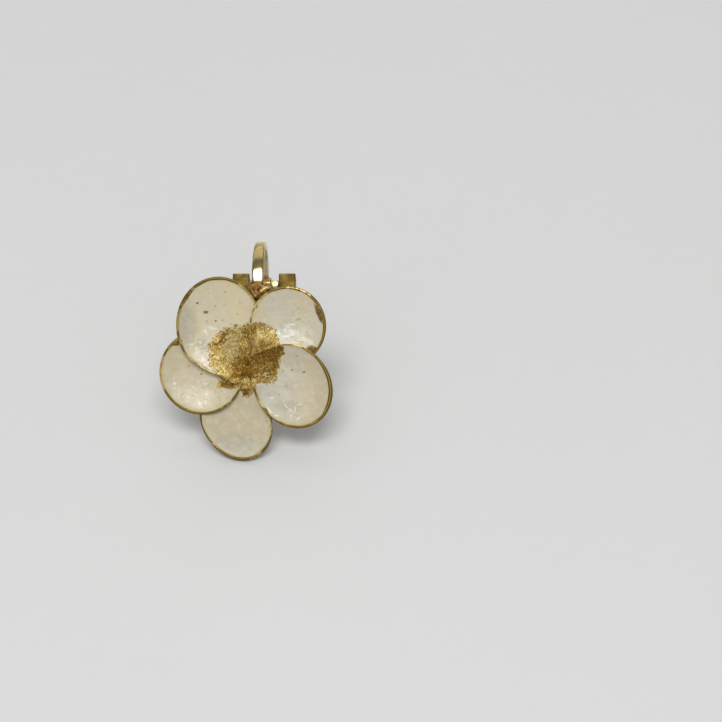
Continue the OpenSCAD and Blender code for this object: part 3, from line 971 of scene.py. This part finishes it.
# Where grains are tried, what share of them the brown and thin places refuse, and their sizes
PATCH_X, PATCH_Y = (-4.8, 4.3), (-3.8, 5.4)
REFUSED = 0.75
GRAIN_R = (0.04, 0.12)
random.seed(11)
ground = surface_under([flower] + enamels)
seed_grain = start(bpy.ops.mesh.primitive_ico_sphere_add, subdivisions=1, radius=1)
template = [v.co.copy() for v in seed_grain.data.vertices]
template_faces = [tuple(f.vertices) for f in seed_grain.data.polygons]
drop(seed_grain)
points, faces = [], []
while len(points) < GRAINS * len(template):
    x, y = random.uniform(*PATCH_X), random.uniform(*PATCH_Y)
    ragged = noise.noise(Vector((x, y, 2.0)) * 1.4) * 0.5
    if not inside_of(POWDER, x + ragged, y - ragged):
        continue
    if inside_of(BROWN_AND_SHADE + THIN_POWDER, x, y) and random.random() < REFUSED:
        continue
    hit = ground.ray_cast(Vector((x, y, 3.0)), Vector((0, 0, -1)))[0]
    if hit is None:
        continue
    size = random.uniform(*GRAIN_R)
    shape = Vector((random.uniform(0.7, 1.5), random.uniform(0.6, 1.1), random.uniform(0.35, 0.8))) * size
    turn = Euler((random.uniform(-0.6, 0.6), random.uniform(-0.6, 0.6), random.uniform(0, 6.28)))
    turned = turn.to_matrix()
    start_at = len(points)
    for t in template:
        rough = 1 + random.uniform(-0.22, 0.22)
        points.append(hit + turned @ Vector((t.x * shape.x, t.y * shape.y, t.z * shape.z)) * rough)
    faces += [[start_at + k for k in f] for f in template_faces]
grain_mesh = bpy.data.meshes.new("grains")
grain_mesh.from_pydata(points, [], faces)
grains = bpy.data.objects.new("grains", grain_mesh)
bpy.context.collection.objects.link(grains)
print("grains", len(points) // len(template))

# %% [markdown]
# The grains take the colour of the powder they lie in, a little lighter or browner, and darker where it has
# painted shade.

# %% Finish of the grains
LIGHT_GRAIN, BROWN_AND_SHADED_GRAIN = (0.68, 0.51, 0.19, 1), (0.20, 0.105, 0.014, 1)

def grain_material():
    s = Shader("gold_grains")
    at = s.flower_mm()
    _, gold, grain, brown_and_shade, _ = powder(s, at)
    shade = s.noise(at, 7.0, 1.0)
    colour = s.mix(s.between(shade, 0.35, 0.65), gold, LIGHT_GRAIN)
    # Browner and darker in the brown powder and the painted shade
    colour = s.mix(s.part(brown_and_shade, 0.75), colour, BROWN_AND_SHADED_GRAIN)
    return s.finish(colour, 0.85, s.between(shade, 0.3, 0.7, 0.32, 0.52), s.bump(grain, 0.05))

# %% [markdown]
# ## Set on its feet
# Every piece gets its finish, is scaled to its real size and set on its feet.

# %% Place the pieces
def finished(obj, material, name, body_name, slot, *nodes):
    obj.data.materials.clear()
    obj.data.materials.append(material)
    set_on_feet(obj, name, body_name, slot, *nodes)

finished(flower, rim_gilt, "stamped_petals", "flower", "gilt", "flower_setting")
finished(pad, pad_gilt, "pad_and_foot", "flower", "gilt", "flower_setting")
finished(arm, arm_gilt, "clip_arm", "flower", "gilt", "flower_setting")
finished(grains, grain_material(), "powder_grains", "flower", "gilt")
for i, (fill, p) in enumerate(zip(enamels, PETALS)):
    number = i + 1
    finished(fill, enamel_material(i, p), "enamel_fill_%d" % number, "flower", "enamel", "enamel_%d" % number)
finished(pin, pin_gilt, "pin", "flower", "gilt", "hinge_pin")
finished(paddle, clip_gilt, "paddle", "paddle", "gilt", "clip_paddle")

# %% [markdown]
# ## The table
# A matt pale table, with a grey card over and behind the earring, out of the picture.

# %% Table and card
TABLE_GREYS = ((0.640, 0.645, 0.641, 1), (0.675, 0.678, 0.673, 1))
CARD_GREYS = ((0.65, 0.65, 0.65, 1), (0.69, 0.69, 0.69, 1))
floor = start(bpy.ops.mesh.primitive_plane_add, size=3, location=(0, 0, 0))
floor.name = "floor"
s = Shader("pale_table")
at = s.add("TexCoord", {}).outputs["Object"]
dullness = s.between(s.noise(at, 400.0), 0.3, 0.7, 0.55, 0.7)
floor.data.materials.append(s.finish(s.mix(s.noise(at, 14.0, 3.0), *TABLE_GREYS), 0.0, dullness))
card = start(bpy.ops.mesh.primitive_plane_add, size=1, location=(0, 0.09, 0.75))
card.name = "grey_card"
card.scale = (0.85, 0.50, 1)
s = Shader("grey_card")
at = s.add("TexCoord", {}).outputs["Object"]
card.data.materials.append(s.finish(s.mix(s.noise(at, 40.0), *CARD_GREYS), 0.0, 0.8))
print("staged:", floor.name, "and", card.name)
